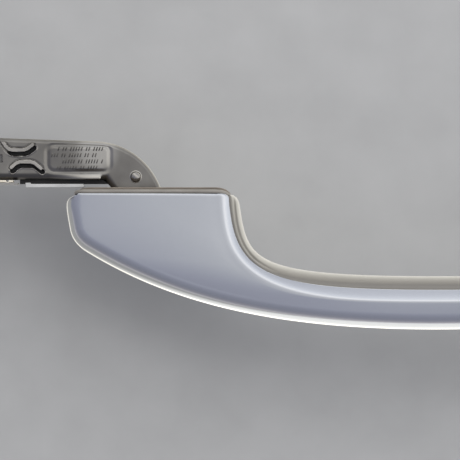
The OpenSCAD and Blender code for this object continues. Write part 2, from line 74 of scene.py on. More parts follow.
# ---- Sizes that the frame gives ----
shell_low, shell_high = box_mm("grip_shell")
liner_low, _ = box_mm("grip_liner")
arm_low, arm_high = box_mm("hinge_arm")
screw_low, screw_high = box_mm("cover_screws")
DOOR_Y = box_mm("front_foot_seal")[1][1]
MID_X = (shell_low[0] + shell_high[0]) / 2
END_U = (shell_high[0] - shell_low[0]) / 2
STANDOFF = DOOR_Y - shell_low[1]
SEAM_V = DOOR_Y - liner_low[1]
BASE_V = DOOR_Y - shell_high[1]
FOOT_H = shell_high[2]
GRIP_H = FOOT_H - 1.4  # half height at the middle of the grip
LINER_BULGE = 4.2  # how far the liner stands out of the shell towards the fingers
SEAL_T = DOOR_Y - box_mm("front_foot_seal")[0][1]
HEAD_R = 3.0  # heads of the screws in the feet
SCREW_X = (screw_low[0] + HEAD_R, screw_high[0] - HEAD_R)


# ---- Mesh tools ----
def face_outwards(mesh):
    """Turns every face of a closed mesh so that its normal points out of the solid."""
    work = bmesh.new()
    work.from_mesh(mesh)
    bmesh.ops.recalc_face_normals(work, faces=work.faces)
    work.to_mesh(mesh)
    work.free()


def make_piece(name, points, faces, body, sharp_deg=35.0):
    """A mesh piece from points in millimetres and faces, riding on a body."""
    mesh = bpy.data.meshes.new(name)
    mesh.from_pydata(np.asarray(points, float).reshape(-1, 3) * MM, [], faces)
    mesh.validate()
    face_outwards(mesh)
    mesh.shade_smooth()
    mesh.set_sharp_from_angle(angle=math.radians(sharp_deg))
    piece = bpy.data.objects.new(name, mesh)
    bpy.context.scene.collection.objects.link(piece)
    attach(piece, body)
    return piece


def grid_faces(rows, columns, closed_columns=False, closed_rows=False, flip=False):
    """Quads between neighbours of a grid of points, numbered row by row."""
    r = np.arange(rows if closed_rows else rows - 1)[:, None]
    c = np.arange(columns if closed_columns else columns - 1)[None, :]
    r2, c2 = (r + 1) % rows, (c + 1) % columns
    quads = np.stack([r * columns + c, r2 * columns + c, r2 * columns + c2, r * columns + c2], -1)
    quads = quads.reshape(-1, 4)
    return (quads[:, ::-1] if flip else quads).tolist()


def strip_caps(rows, columns, flip=False):
    """Closes both ends of a loft whose rings run out and come back with as many points."""
    i = np.arange(columns // 2 - 1)
    first = np.stack([i, i + 1, columns - 2 - i, columns - 1 - i], -1)
    last = (rows - 1) * columns + first[:, ::-1]
    if flip:
        first, last = first[:, ::-1], last[:, ::-1]
    return first.tolist() + last.tolist()


def unit(a):
    """Vectors of length 1 the same way."""
    return a / np.linalg.norm(a, axis=-1, keepdims=True)


def smooth(s):
    """Cubic step from 0 to 1, flat at both ends."""
    s = np.clip(s, 0, 1)
    return s * s * (3 - 2 * s)


# ---- Outlines of the grip in plan ----
# [u, v]: u is the distance from the middle of the grip, v the distance out of the door skin
RIM = 0.5  # rounding of the shell's edge on its foot cap
FOOT_V = BASE_V + RIM
LINER_V = BASE_V + 0.9
BOW_SHARE, CORNER_SHARE = 0.72, 0.18
OUTER_BOW = [[0, STANDOFF], [47.4, STANDOFF], [82.5, STANDOFF - 6.9], [111.5, 20.8]]
OUTER_CORNER = [[111.5, 20.8], [114.6, 18.95], [END_U - 1.55, 16.6], [END_U - 1.0, 13.2]]
OUTER_END = [[END_U - 1.0, 13.2], [END_U + 0.65, 4.0], [END_U + 0.65, 4.0], [END_U - 3.3, FOOT_V]]
SEAM_LINE = [[0, SEAM_V], [54.7, SEAM_V], [65.2, SEAM_V - 4.2], [66.3, FOOT_V]]
LINER_LINE = [[0, SEAM_V - LINER_BULGE], [63.1, SEAM_V - LINER_BULGE], [60.1, 22.7], [63.4, LINER_V]]


def bezier(p, t):
    """Cubic curve with four control points, at every t."""
    p, t = np.asarray(p, float), np.clip(t, 0, 1)[..., None]
    return (1 - t) ** 3 * p[0] + 3 * (1 - t) ** 2 * t * p[1] + 3 * (1 - t) * t**2 * p[2] + t**3 * p[3]


def outer(t):
    """The outermost line: the bow, then the corner, then the end of the foot."""
    turn = BOW_SHARE + CORNER_SHARE
    bow = bezier(OUTER_BOW, t / BOW_SHARE)
    corner = bezier(OUTER_CORNER, (t - BOW_SHARE) / CORNER_SHARE)
    end = bezier(OUTER_END, (t - turn) / (1 - turn))
    t = t[..., None]
    return np.where(t < BOW_SHARE, bow, np.where(t < turn, corner, end))


def seam(t):
    """The line where the painted shell meets the liner."""
    return bezier(SEAM_LINE, t)


def inward(curve, t, turn):
    """Unit vectors across a curve in plan, to its left for turn 1 and to its right for turn -1."""
    step = 1e-4
    d = unit(curve(np.minimum(t + step, 1)) - curve(np.maximum(t - step, 0)))
    return np.stack([-d[:, 1], d[:, 0]], -1) * turn


def half_height(t):
    """Half the grip's height along Z, greatest on the feet."""
    return GRIP_H + (FOOT_H - GRIP_H) * smooth(t / 0.65)


def along(points, count):
    """Evenly spaced points along a line of points, by length."""
    points = np.asarray(points, float)
    length = np.concatenate([[0], np.cumsum(np.linalg.norm(np.diff(points, axis=0), axis=1))])
    s = np.linspace(0, length[-1], count)
    return np.stack([np.interp(s, length, points[:, i]) for i in range(2)], -1)


def line_distance(place, line):
    """Distance of every place from a line of points, and how far it lies to the line's right."""
    best = np.full(place.shape[:-1], 1e9)
    right = np.zeros(place.shape[:-1])
    for start, end in zip(line[:-1], line[1:]):
        d = end - start
        s = np.clip(((place - start) @ d) / (d @ d), 0, 1)
        away = place - (start + s[..., None] * d)
        distance = np.linalg.norm(away, axis=-1)
        side = (away @ np.array([d[1], -d[0]])) / np.linalg.norm(d)
        nearer = distance < best
        best = np.where(nearer, distance, best)
        right = np.where(nearer, side, right)
    return best, right


# Where the end of the foot lies farthest out along u
END_T = np.linspace(BOW_SHARE + CORNER_SHARE, 1, 400)
TIP_U = outer(END_T)[:, 0].max()
TIP_T = END_T[np.argmax(outer(END_T)[:, 0])]
# Both lines run on straight past their ends, so that distances from them stay smooth over the foot
BOW_POINTS = np.concatenate([bezier(OUTER_BOW, np.linspace(0, 1, 120)), [[140.5, 3.1]]])
SEAM_POINTS = np.concatenate([seam(np.linspace(0, 1, 120)), [[67.3, -8.0]]])


# ---- Painted shell ----
# Pairs hold the value on the grip and on the foot
SEAM_DROP = (2.2, 1.05)  # how far the shell falls from its crest to its seam
BEVEL_W = (3.7, 2.5)
BEVEL_TILT = (0.32, 0.2)  # the bevel's slope at the crest
CROWN = 0.35  # how far the outer face bulges
CROWN_START = (0.07, -0.045)  # slope of the plateau next to the crest
CROWN_END = (0.27, 0.10)  # its slope at the outer line
CROWN_W, START_W = (10.5, 19.0), 14.0  # how far in from the outer line and out from the crest they reach
ROUND_PLAN = (5.2, 5.0)  # the final rounding's width in plan
ROUND_H = (5.6, 4.6)
CREST_SOFT = (0.35, 1.6)  # how softly the bevel turns into the crest
CREST_RUN = (0.6, 1.6)  # from the bevel's upper end to the start of the plateau
SEAM_R = 0.25
SEAM_START = 0.1  # where the bevel starts, in from the seam
ROLL_FROM, ROLL_TO = 238, 134  # angles of the roll at the seam
NOTCH_W, NOTCH_FALL = 2.6, 1.5  # the foot's corner next to the seam
SHELL_WALL = 2.2
RIM_STEPS = 5


def mix(pair, share):
    """Between the grip's and the foot's value."""
    return pair[0] + (pair[1] - pair[0]) * share


def foot_share(t):
    """0 along the grip, 1 on the feet."""
    return smooth((t - 0.15) / 0.5)


def bevel_drop(x, width, tilt, soft, seam_drop):
    """Fall of the bevel at a distance x from the crest towards the seam: a soft ramp and a square."""
    ramp = (x + np.sqrt(x**2 + soft**2)) / 2
    curve = (seam_drop - tilt * width) / width**2
    return tilt * ramp + curve * np.maximum(x, 0) ** 2


def shell_section(t, inset):
    """Upper half of the shell's section at every t, from the seam to mid height of the outer face.

    A small roll at the seam, a bevel that rises to the crest, a plateau ruled across to the
    rounding, a quarter ellipse, and the crowned outer face. Returns places in plan and heights.
    """
    a = seam(t)
    b = outer(t)
    na = inward(seam, t, 1)
    nb = inward(outer, t, -1)
    level = smooth((t - 0.85) / 0.06)[:, None]
    nb = unit(nb * (1 - level) + np.array([-1.0, 0.0]) * level)
    a = a + na * 0.4 * inset
    b = b + nb * inset
    h = half_height(t)[:, None] - inset
    blend = foot_share(t)[:, None]
    seam_drop = mix(SEAM_DROP, blend)
    soft = mix(CREST_SOFT, blend)
    bevel_w = mix(BEVEL_W, blend)
    tilt = mix(BEVEL_TILT, blend)
    past = bevel_w + mix(CREST_RUN, blend)
    at_end = smooth((t - 0.5) / 0.4)[:, None]
    reach = np.linalg.norm(b - a, axis=-1, keepdims=True)
    round_r = np.clip(mix(ROUND_PLAN, at_end) - inset, 0.8, reach - past - 0.3)
    # The foot's chamfer cuts across the rounding instead of following it
    cut = (TIP_U - inset - b[:, :1]) * (t[:, None] > TIP_T)
    round_h = mix(ROUND_H, at_end) - inset * 0.5
    face = h - round_h

    def across(origin, normal, distance):
        return origin[:, None] + normal[:, None] * distance[..., None]

    bevel = across(a, na, SEAM_START + (past - SEAM_START) * np.linspace(0, 1, 24)[None])
    z_start = h - bevel_drop(bevel_w - SEAM_START, bevel_w, tilt, soft, seam_drop)
    last = math.radians(ROLL_TO)
    angles = np.radians(np.linspace(ROLL_FROM, ROLL_TO, 6, endpoint=False))[None]
    roll_x = SEAM_START - SEAM_R * math.cos(last) + SEAM_R * np.cos(angles)
    roll = across(a, na, roll_x * np.ones_like(h))
    z_roll = z_start - SEAM_R * math.sin(last) + SEAM_R * np.sin(angles)

    crest = a + na * past
    shoulder = b + nb * (round_r - cut)
    s = np.linspace(0, 1, 24)[1:-1][None, :, None]
    plateau = crest[:, None] * (1 - s) + shoulder[:, None] * s
    q = np.linspace(0, math.pi / 2, 26)[None]
    rounding = across(b, nb, CROWN + (round_r - cut - CROWN) * (1 - np.sin(q)))
    k = np.linspace(1, 0, 7)[1:][None]
    side = across(b, nb, CROWN * k**2 * np.ones_like(h))

    first, end = mix(CROWN_START, blend), mix(CROWN_END, blend)
    crown_w = mix(CROWN_W, blend)

    def drop(plan):
        """Fall below full height: the bevel by the seam, then the crown, which steepens outwards."""
        from_seam = np.sum((plan - a[:, None]) * na[:, None], -1)
        from_bow, _ = line_distance(plan, BOW_POINTS)
        from_end = np.maximum(END_U - plan[..., 0], 0.1)
        from_outer = from_bow * from_end / np.hypot(from_bow, from_end)
        inner, _ = line_distance(plan, SEAM_POINTS)
        inner_part = first * START_W * (1 - np.exp(-np.maximum(inner - past, 0) / START_W))
        outer_part = (end - first) * np.maximum(crown_w - from_outer, 0) ** 2 / (2 * crown_w)
        return bevel_drop(bevel_w - from_seam, bevel_w, tilt, soft, seam_drop) + inner_part + outer_part

    def round_corner(plan):
        """Rounds the foot's corner next to the seam, where its cap curls over."""
        x = np.clip(1 - (plan[..., 0] - SEAM_LINE[3][0]) / NOTCH_W, 0, 1)
        fall = NOTCH_FALL * (1 - np.sqrt(1 - 0.96 * x**2)) * smooth((t - 0.9) / 0.1)[:, None]
        return np.stack([plan[..., 0], plan[..., 1] + fall], -1)

    from_side = (cut + (round_r - cut) * (1 - np.sin(q))) / round_r
    z_round = face + (round_h - drop(rounding)) * np.sqrt(np.maximum(1 - (1 - from_side) ** 2, 0))
    plan = round_corner(np.concatenate([roll, bevel, plateau, rounding, side], 1))
    z = np.concatenate([z_roll, h - drop(bevel), h - drop(plateau), z_round, z_round[:, -1:] * k], 1)
    return plan, z


def both_halves(plan, z):
    """Runs a section given for the top half on to the bottom half, with mid height kept once."""
    return (
        np.concatenate([plan, plan[:, -2::-1]], 1),
        np.concatenate([z, -z[:, -2::-1]], 1),
    )


def two_skins(section, wall):
    """A section that runs round the outer skin and comes back round the inner one, a wall further in."""

    def closed(t):
        outside = both_halves(*section(t, 0))
        inside = both_halves(*section(t, wall))
        return [np.concatenate([there, back[:, ::-1]], 1) for there, back in zip(outside, inside)]

    return closed


def sweep(section, half_steps):
    """Rings from the front foot over the middle to the rear foot, as rows of points."""
    t = np.abs(np.linspace(-1, 1, 2 * half_steps + 1))
    side = np.where(np.arange(len(t)) < half_steps, -1.0, 1.0)
    plan, z = section(t)
    x = MID_X + side[:, None] * plan[..., 0]
    return np.stack([x, DOOR_Y - plan[..., 1], z], -1)


def add_rims(rings, radius):
    """Rounds the edge on the foot cap: rings that draw in from the last one as they near the cap."""
    out = []
    for end in (rings[0], rings[-1]):
        around = np.roll(end, -1, 0) - np.roll(end, 1, 0)
        normal = unit(np.cross(around, [0.0, 1.0, 0.0]))
        centre = end.mean(0)
        outward = np.sign(np.sum(normal * (end - centre), -1, keepdims=True).mean())
        rim = []
        for angle in np.linspace(0, math.pi / 2, RIM_STEPS + 1)[1:]:
            place = end - normal * outward * radius * (1 - math.cos(angle))
            place[:, 1] = end[:, 1] + radius * math.sin(angle)
            rim.append(place)
        out.append(rim)
    return np.concatenate([np.array(out[0][::-1]), rings, np.array(out[1])])


def build_shell():
    """The painted shell: its section swept along the grip, with a second skin inside and round rims."""
    rings = sweep(two_skins(shell_section, SHELL_WALL), 130)
    rows, columns = rings.shape[:2]
    half = columns // 2
    outside = add_rims(rings[:, :half], RIM)
    first, last = np.repeat(rings[:1], RIM_STEPS, 0), np.repeat(rings[-1:], RIM_STEPS, 0)
    inside = np.concatenate([first, rings, last])[:, half:]
    inside[:RIM_STEPS, :, 1] = outside[:RIM_STEPS, ::-1, 1]
    inside[-RIM_STEPS:, :, 1] = outside[-RIM_STEPS:, ::-1, 1]
    rings = np.concatenate([outside, inside], 1)
    faces = grid_faces(len(rings), columns, closed_columns=True) + strip_caps(len(rings), columns, True)
    piece = make_piece("painted_shell", rings, faces, "handle", 28)
    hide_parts("grip_shell")
    return piece


# ---- Liner on the finger side ----
LINER_WALL = 1.4
LINER_LIP = (0.22, 0.6, 0.3)  # height, place from the seam and width
LINER_GROOVE = (0.95, 1.5, 0.4)
TUCK = np.array([[-0.9, -0.5, -0.15]])  # how far the liner's edge runs in under the shell


def liner_section(t, inset):
    """Upper half of the liner's section: a lip, a groove and a roll out to the liner's own line."""
    a = seam(t)
    bulge = bezier(LINER_LINE, t) - a
    reach = np.linalg.norm(bulge, axis=-1, keepdims=True)
    out = bulge / reach
    to_end = np.clip((t[:, None] - 0.955) / 0.045, 0, 1)
    reach = reach * (0.45 + 0.55 * np.sqrt(1 - to_end**2))
    h = half_height(t)[:, None] - mix(SEAM_DROP, foot_share(t)[:, None]) - 0.5 - inset
    q = np.linspace(0, math.pi / 2, 34)[None]
    e = (reach - inset) * np.sin(q)
    z = h * np.cos(q)
    near_foot = smooth((t - 0.42) / 0.2)[:, None] * (inset == 0)
    lip, groove = (size * np.exp(-(((e - at) / width) ** 2)) for size, at, width in (LINER_LIP, LINER_GROOVE))
    z = z + near_foot * (lip - groove) * np.cos(q)
    e = np.concatenate([TUCK + np.zeros_like(h), e], 1)
    z = np.concatenate([h - np.array([[0.5, 0.12, 0.0]]), z], 1)
    return a[:, None] + out[:, None] * e[..., None], z


def build_liner():
    """The finger-side liner: its section swept along the grip, with a second skin inside."""
    rings = sweep(two_skins(liner_section, LINER_WALL), 110)
    rows, columns = rings.shape[:2]
    faces = grid_faces(rows, columns, closed_columns=True, flip=True) + strip_caps(rows, columns)
    piece = make_piece("finger_liner", rings, faces, "handle", 60)
    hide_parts("grip_liner")
    return piece


# ---- Caps and seals of the feet ----
CURL_IN = (4.9, 3.1)  # reach and fall of a foot plate's curl at its finger end
CURL_OUT = (3.4, 0.9)
PLATE_CORNER = 4.0
# Shares of the way from a plate's edge to its screw's hole at which rings lie
PLATE_SHARES = (0.06, 0.12, 0.2, 0.3, 0.45, 0.62, 0.8)


def rounded_outline(half_x, half_z, corner, count):
    """A rectangle with round corners about the origin, at even angles of its corners' arcs."""
    q = (np.arange(count) + 0.5) * 2 * math.pi / count
    sign = np.stack([np.sign(np.cos(q)), np.sign(np.sin(q))], -1)
    core = np.array([half_x - corner, half_z - corner])
    ray = np.stack([np.abs(np.cos(q)), np.abs(np.sin(q))], -1)
    on_x = half_x / ray[:, 0]
    on_z = half_z / ray[:, 1]
    reach = np.minimum(on_x, on_z)
    along_ray = ray @ core
    gap = core @ core - corner**2
    on_arc = along_ray + np.sqrt(np.maximum(along_ray**2 - gap, 0))
    place = ray * reach[:, None]
    in_corner = (place > core).all(-1)
    return sign * ray * np.where(in_corner, on_arc, reach)[:, None]


def curl(x, side, ends):
    """Fall of a foot plate towards both of its ends, each a quarter of an ellipse."""
    u = (x - MID_X) * side
    total = np.zeros_like(x)
    for (reach, fall), inward_end, end in ((CURL_IN, True, ends[0]), (CURL_OUT, False, ends[1])):
        near = (end + reach - u) / reach if inward_end else (u - end + reach) / reach
        total += fall * (1 - np.sqrt(1 - 0.98 * np.clip(near, 0, 1) ** 2))
    return total


def build_foot_plate(name, cad_node, side, ends, half_z, v_low, v_high, edge, hole_r, slot):
    """A foot's cap or seal: a plate with round edges, curled at both ends, with its screw's hole.

    Rings run from the hole over the door side's face, round the edge and back under the plate.
    """
    screw_u = abs((SCREW_X[0] if side < 0 else SCREW_X[1]) - MID_X)
    half_x = (ends[1] - ends[0]) / 2
    mid_u = (ends[1] + ends[0]) / 2
    count = 128
    q = (np.arange(count) + 0.5) * 2 * math.pi / count
    hole = np.stack([screw_u - mid_u + hole_r * np.cos(q), hole_r * np.sin(q)], -1)
    profile = [(1.0, 0.0, v_low + 0.15), (0.985, 0.0, v_low)]
    profile += [(share, 0.0, v_low) for share in PLATE_SHARES[::-1]]
    half = (v_high - v_low) / 2
    for angle in np.linspace(-90, 90, 9):
        drawn_in = edge * (1 - math.cos(math.radians(angle)))
        profile.append((0.0, drawn_in, (v_low + v_high) / 2 + half * math.sin(math.radians(angle))))
    profile += [(share, 0.0, v_high) for share in PLATE_SHARES]
    profile += [(0.985, 0.0, v_high), (1.0, 0.0, v_high - 0.15)]
    rings = []
    for share, drawn_in, v in profile:
        drawn_in = edge if share > 0 else drawn_in
        outline = rounded_outline(half_x - drawn_in, half_z - drawn_in, PLATE_CORNER, count)
        plan = outline * (1 - share) + hole * share
        x = MID_X + side * (mid_u + plan[:, 0])
        y = DOOR_Y - v - curl(x, side, ends)
        rings.append(np.stack([x, y, plan[:, 1]], -1))
    faces = grid_faces(len(rings), count, closed_columns=True, closed_rows=True, flip=side < 0)
    piece = make_piece(name, np.array(rings), faces, "handle", 45)
    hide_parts(cad_node)
    return piece


def build_foot_plates():
    """A cap and a seal for either foot, by the name of the frame node each stands for."""
    plates = {}
    for end, side in (("front", -1.0), ("rear", 1.0)):
        cap = {
            "ends": (SEAM_LINE[3][0] - 1.0, END_U - 2.5),
            "half_z": FOOT_H - 0.3,
            "v_low": SEAL_T,
            "v_high": BASE_V + 0.1,
            "edge": 0.5,
            "hole_r": 1.55,
        }
        seal = {
            "ends": (SEAM_LINE[3][0] - 0.7, END_U - 4.2),
            "half_z": FOOT_H - 0.8,
            "v_low": 0.0,
            "v_high": SEAL_T,
            "edge": 0.25,
            "hole_r": 3.4,
        }
        for kind, sizes in (("cap", cap), ("seal", seal)):
            label = f"{end}_foot_{kind}"
            plates[label] = build_foot_plate(f"{end}_{kind}", label, side, slot="foot_" + kind, **sizes)
    return plates


# ---- Hinge arm ----
ARM_Z = 7.0  # outer face of the cheeks
ARM_T = 1.5
EDGE_Y = 1.6  # the cheeks' skin-side edge
EDGE_R = 2.2  # bend along that edge
TOP_R = 1.5  # bend between cheek and web
NOSE_R = 22.5
ROOT_X = arm_high[0]  # the far side of the arm's root
NOSE = np.array([ROOT_X - NOSE_R, -8.6])
ARM_X0 = arm_low[0]
WEB_Y = arm_high[1]
PAD_LOW, PAD_HIGH, PAD_CORNER = np.array([37.4, 4.0]), np.array([58.0, 13.0]), 2.6
PAD_GROOVE, PAD_PILLOW = 0.34, 0.5  # depth of the groove round the panel, height of the panel's middle
# Middle lines of the two ribs
RIB_UPPER = [
    [21.8, 15.8], [23.0, 14.4], [24.6, 12.1], [25.6, 11.35],
    [26.6, 11.15], [30.1, 11.15], [31.2, 11.5], [33.0, 12.8],
]
RIB_LOWER = [[26.2, 5.6], [27.7, 6.9], [29.0, 7.4], [32.2, 7.4], [33.6, 7.0], [35.7, 5.3]]
RIB_W, RIB_H, RIB_REACH = 0.55, 0.6, 0.62  # flat top, height, and as far as the shoulders go
SLOT_SHIFT = np.array([0.42, -1.1])  # from a rib to its slot
SLOT_W, SLOT_DEPTH = 0.58, 1.3
BURR_W, BURR_H = 0.95, 0.28
LIP_LOW, LIP_HIGH = 38.0, 54.6  # where the cheek leans up to a sharp bend
LIP_W, LIP_RISE = 1.75, 0.45
WINDOW_LOW, WINDOW_HIGH = np.array([16.0, 7.1]), np.array([23.4, 9.7])
FOOT_BEND = np.array([57.4, 3.8])  # where the bend line turns from the edge into the foot
FOOT_BEND_WAY = np.array([0.559, -0.829])
LOW_EDGE = [
    [ARM_X0 + 0.3, 3.0], [ARM_X0 + 1.4, EDGE_Y], [55.4, EDGE_Y], [56.2, 1.2], [58.8, -1.6], [60.4, -3.2],
]


def arc(centre, radius, start, end, count):
    """Points of an arc, in degrees."""
    q = np.radians(np.linspace(start, end, count))
    return centre + radius * np.stack([np.cos(q), np.sin(q)], -1)


def step_down(x, width):
    """1 below zero, 0 above width, smooth between."""
    return 1 - smooth(x / width)


def cheek_relief(place):
    """Height of the pressed details over the flat cheek, and where its two slots are.

    Each rib is a flat band with tight shoulders and a slot on its far side, whose other edge has
    a burr. The panel is a shallow pillow in a groove round a rectangle with round corners.
    """
    height = np.zeros(place.shape[:-1])
    slot = np.zeros(place.shape[:-1])
    for line in (RIB_UPPER, RIB_LOWER):
        path = along(line, 40)
        distance, _ = line_distance(place, path)
        height += RIB_H * step_down(distance - RIB_W, 0.16)
        height -= 0.12 * np.exp(-(((distance - 0.85) / 0.15) ** 2))
        share = smooth((place[..., 0] - 24.6) / 1.6) if line is RIB_UPPER else 1.0
        gap, _ = line_distance(place, path + SLOT_SHIFT)
        open_slot = step_down(gap - SLOT_W, 0.14) * (distance > RIB_REACH) * share
        slot = np.maximum(slot, open_slot)
        height += BURR_H * np.exp(-(((gap - BURR_W) / 0.17) ** 2)) * (distance > 1.25) * share
    half = (PAD_HIGH - PAD_LOW) / 2
    middle = (PAD_LOW + PAD_HIGH) / 2
    q = np.abs(place - middle) - half + PAD_CORNER
    inside = PAD_CORNER - np.linalg.norm(np.maximum(q, 0), axis=-1) - np.minimum(q.max(-1), 0)
    pillow = 1 - ((place - middle) / half) ** 2
    height -= PAD_GROOVE * smooth((inside + 0.9) / 1.2) * (1 - smooth((inside - 0.2) / 1.3) * 0.75)
    height += PAD_PILLOW * np.clip(pillow[..., 0], 0, 1) * smooth(inside / 1.4)
    return height - SLOT_DEPTH * slot, slot


def lip_share(place):
    """1 where the cheek leans up to a sharper bend, 0 elsewhere."""
    x = place[..., 0]
    return smooth((x - LIP_LOW) / 12.0) * (1 - smooth((x - LIP_HIGH) / 0.7))


def bend_depth(place):
    """How far a place lies beyond the bend line that runs along the edge and turns into the foot."""
    along_edge = EDGE_Y + EDGE_R - place[..., 1]
    slanted = -((place - FOOT_BEND) @ np.array([-FOOT_BEND_WAY[1], FOOT_BEND_WAY[0]]))
    return np.minimum(along_edge, slanted)


def build_arm():
    """One pressed channel: cheek, bend, web, bend, cheek, as rings along its spine.

    The spine runs along the top outline and round the nose. Every ring goes from the lip of the
    upper cheek up to the spine, over the web and down the lower cheek, then back inside.
    """
    free_end = [[ARM_X0, 5.0], [ARM_X0, WEB_Y - 3.5]]
    corner = arc(np.array([ARM_X0 + 3.5, WEB_Y - 3.5]), 3.5, 180, 88, 8)[1:]
    nose = arc(NOSE, NOSE_R, 90, 14, 24)
    spine = along(np.concatenate([free_end, corner, nose]), 420)
    foot_line = along([LOW_EDGE[-1], [ROOT_X - 2.4, LOW_EDGE[-1][1]]], 121)[1:]
    low_line = np.concatenate([along(LOW_EDGE, 300), foot_line])

    def cheek(count):
        """Places from the low line to just under the spine, closer together at the lip."""
        s = np.linspace(0, 1, count) ** 1.25
        inner = spine - unit(spine - low_line) * (TOP_R - 0.2)
        return low_line[:, None] + (inner - low_line)[:, None] * s[None, :, None]

    def plain_height(place, thickness):
        """Height of a cheek's skin, with the bend along its edge, at a depth under the outer face."""
        radius = EDGE_R - thickness
        depth = np.clip(bend_depth(place), 0, radius)
        return ARM_Z - thickness - (radius - np.sqrt(np.maximum(radius**2 - depth**2, 0)))

    def pressed_height(place):
        """Height of the upper cheek with its lip and pressed details, and where its slots are."""
        relief, slot = cheek_relief(place)
        share = lip_share(place)
        depth = np.clip(bend_depth(place), 0, EDGE_R)
        late = np.clip((depth - LIP_W) * EDGE_R / (EDGE_R - LIP_W), 0, EDGE_R)
        rise = smooth((depth + 0.2) / LIP_W) * (depth < LIP_W)
        rise += np.sqrt(1 - np.clip(late / EDGE_R, 0, 1) ** 2) * (depth >= LIP_W)
        sharp = ARM_Z - EDGE_R + np.sqrt(EDGE_R**2 - late**2) + LIP_RISE * rise
        z = plain_height(place, 0) * (1 - share) + sharp * share
        return z + relief * step_down(depth - 0.2, 1.0), slot

    upper = to_window(cheek(92), 0.1)
    z_upper, slot = pressed_height(upper)
    lower = to_window(cheek(40), 0.2)
    z_lower = plain_height(lower, 0)
    across = unit(spine - low_line)
    q = np.radians(np.linspace(0, 90, 7))[None, :, None]
    bend = (spine - across * TOP_R)[:, None] + across[:, None] * TOP_R * np.sin(q)
    z_bend = ARM_Z - TOP_R + TOP_R * np.cos(q[..., 0]) + np.zeros(len(spine))[:, None]
    outside = np.concatenate([upper, bend[:, 1:], bend[:, ::-1][:, :-1], lower[:, ::-1]], 1)
    z_out = np.concatenate([z_upper, z_bend[:, 1:], -z_bend[:, ::-1][:, :-1], -z_lower[:, ::-1]], 1)
    inner = to_window(low_line[:, None] + (cheek(30) - low_line[:, None]) * 0.985, 0.25)
    z_inner = plain_height(inner, ARM_T)
    web = (spine - across * ARM_T)[:, None]
    z_web = (ARM_Z - ARM_T) * np.array([[1.0, -1.0]]) + np.zeros(len(spine))[:, None]
    inside = np.concatenate([inner, web, web, inner[:, ::-1]], 1)
    z_in = np.concatenate([z_inner, z_web, -z_inner[:, ::-1]], 1)
    plan = np.concatenate([outside, inside[:, ::-1]], 1)
    z = np.concatenate([z_out, z_in[:, ::-1]], 1)
    points = np.concatenate([plan, z[..., None]], -1)
    rows, columns = points.shape[:2]
    faces = grid_faces(rows, columns, closed_columns=True, flip=True)
    faces += [list(range(columns)), list(range(rows * columns - 1, (rows - 1) * columns - 1, -1))]
    piece = make_piece("pressed_arm", points, faces, "handle", 45)
    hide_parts("hinge_arm")
    numbers = pressed_faces(upper, slot, np.array(faces[:-2]), (rows, columns))
    for _ in range(3):
        piece.data.materials.append(None)
    piece.data.polygons.foreach_set("material_index", np.append(numbers, [0, 0]).astype(np.int32))
    cut_window(piece.data)
    return piece


def pressed_faces(place, slot, quads, shape):
    """Which of the arm's materials every quad has: 1 in a slot, black as painted shade; 2 on a rib or a burr,
    lighter as painted highlight; 0 elsewhere.

    The upper cheek's places are the first columns of the arm's grid.
    """
    in_slot, on_rib = np.zeros(shape), np.zeros(shape)
    in_slot[:, : slot.shape[1]] = slot
    for line in (RIB_UPPER, RIB_LOWER):
        path = along(line, 40)
        distance, _ = line_distance(place, path)
        gap, _ = line_distance(place, path + SLOT_SHIFT)
        burr = (np.abs(gap - BURR_W) < 0.2) & (distance > 1.2)
        on_rib[:, : slot.shape[1]] += (distance < RIB_REACH) | burr
    dark = in_slot.ravel()[quads].mean(-1) > 0.5
    ribbed = on_rib.ravel()[quads].mean(-1) > 0.9
    return np.where(dark, 1, np.where(ribbed, 2, 0))


def to_window(place, near):
    """Moves points that lie close to the window's outline on to it."""
    moved = place.copy()
    for axis in (0, 1):
        for edge in (WINDOW_LOW[axis], WINDOW_HIGH[axis]):
            close = np.abs(moved[..., axis] - edge) < near
            moved[..., axis] = np.where(close, edge, moved[..., axis])
    return moved


def cut_window(mesh):
    """Opens the window through both cheeks and walls it: faces out, then each pair of rims bridged."""
    work = bmesh.new()
    work.from_mesh(mesh)
    low, high = WINDOW_LOW * MM, WINDOW_HIGH * MM
    inside = []
    for face in work.faces:
        x, y, z = face.calc_center_median()
        if low[0] < x < high[0] and low[1] < y < high[1] and abs(z) > 0.6 * ARM_Z * MM:
            inside.append(face)
    bmesh.ops.delete(work, geom=inside, context="FACES")
    rims = [edge for edge in work.edges if edge.is_boundary]
    for sign in (1, -1):
        bmesh.ops.bridge_loops(work, edges=[edge for edge in rims if sign * edge.verts[0].co.z > 0])
    bmesh.ops.recalc_face_normals(work, faces=work.faces)
    work.to_mesh(mesh)
    work.free()


MARK_MARGINS = ((3.6, 3.8), (5.4, 2.2), (1.8, 4.6), (3.9, 2.4))  # room at either end of each row
MARK_STEP, MARK_GAP = 0.86, 1.55  # from bar to bar, and from group to group
MARK_SIZE, MARK_H = np.array([0.36, 1.3]), 0.22
ROW_START, ROW_STEP = 1.5, 2.0


